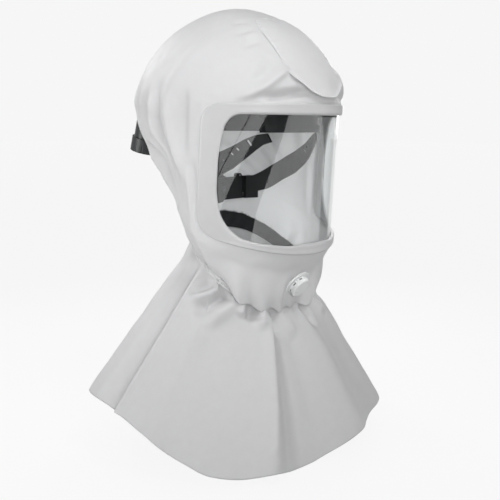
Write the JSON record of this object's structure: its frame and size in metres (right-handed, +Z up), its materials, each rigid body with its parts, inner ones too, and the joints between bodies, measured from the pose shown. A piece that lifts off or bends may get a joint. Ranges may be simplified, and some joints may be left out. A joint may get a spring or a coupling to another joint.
{
  "type": "powered air respirator headtop",
  "caption": "White respirator hood with curved visor, shoulder cape, inner headgear, rear air inlet and chin exhalation valve.",
  "frame": {"origin": "centre of the wearer's head at brow height, where the head carries the headgear", "axes": "+Z up, -Y the way the wearer faces, +X the wearer's left"},
  "size_m": [0.402, 0.3295, 0.488],
  "materials": {
    "hood_cloth": "matte",
    "frame_band": "satin",
    "lens": "clear gloss",
    "elastic": "matte",
    "seal_knit": "matte",
    "dark_plastic": "matte",
    "rack_plastic": "satin",
    "foam": "matte",
    "steel": "satin",
    "duct_plastic": "satin",
    "inlet_plastic": "satin",
    "rubber_black": "matte",
    "valve_plastic": "satin",
    "valve_silicone": "matte"
  },
  "bodies": {
    "headtop": {"hood_right": "hood_cloth", "hood_left": "hood_cloth", "brow_flap": "hood_cloth", "chin_panel": "hood_cloth", "visor_frame": "frame_band", "visor_lens": "lens", "neck_casing": "hood_cloth", "neck_elastic": "elastic", "neck_seal": "seal_knit", "cape_front": "hood_cloth", "cape_back": "hood_cloth", "brow_bar": "dark_plastic", "sweatband": "foam", "head_band": "dark_plastic", "arm_right": "dark_plastic", "arm_left": "dark_plastic", "crown_strap_right": "dark_plastic", "crown_strap_left": "dark_plastic", "strap_pegs": "dark_plastic", "visor_brackets": "dark_plastic", "ratchet_housing": "dark_plastic", "ratchet_cover": "dark_plastic", "cover_screws": "steel", "duct_tray": "duct_plastic", "duct_cover": "duct_plastic", "air_diffuser": "duct_plastic", "duct_saddle": "duct_plastic", "inlet_elbow": "inlet_plastic", "inlet_cuff": "rubber_black", "inlet_oring": "rubber_black", "valve_body": "valve_plastic", "valve_nut": "valve_plastic", "valve_cap": "valve_plastic"},
    "knob": {"ratchet_pinion": "rack_plastic", "ratchet_knob": "dark_plastic", "knob_screw": "steel"},
    "rack_right": {"rack_right": "rack_plastic"},
    "rack_left": {"rack_left": "rack_plastic"},
    "collar": {"hose_collar": "inlet_plastic"},
    "breath_disc": {"valve_disc": "valve_silicone"}
  },
  "joints": [
    {"name": "knob_turn", "type": "hinge", "parent": "headtop", "child": "knob", "pos_m": [0, 0.031, -0.08], "axis": [0, 1, 0], "range_deg": [0, 85]},
    {"name": "rack_right_slide", "type": "slide", "parent": "headtop", "child": "rack_right", "axis": [1, 0, 0], "range_m": [0, 0.009]},
    {"name": "rack_left_slide", "type": "slide", "parent": "headtop", "child": "rack_left", "axis": [-1, 0, 0], "range_m": [0, 0.009]},
    {"name": "collar_swivel", "type": "hinge", "parent": "headtop", "child": "collar", "pos_m": [0, 0.156, -0.012], "axis": [0, 0.2588, -0.9659], "continuous": true},
    {"name": "disc_lift", "type": "slide", "parent": "headtop", "child": "breath_disc", "axis": [0, -0.8232, -0.5677], "range_m": [0, 0.0016], "stiffness_N_per_m": 20}
  ],
  "couplings": [
    {"joint": "rack_right_slide", "follows": "knob_turn", "m_per_rad": 0.006},
    {"joint": "rack_left_slide", "follows": "knob_turn", "m_per_rad": 0.006}
  ]
}
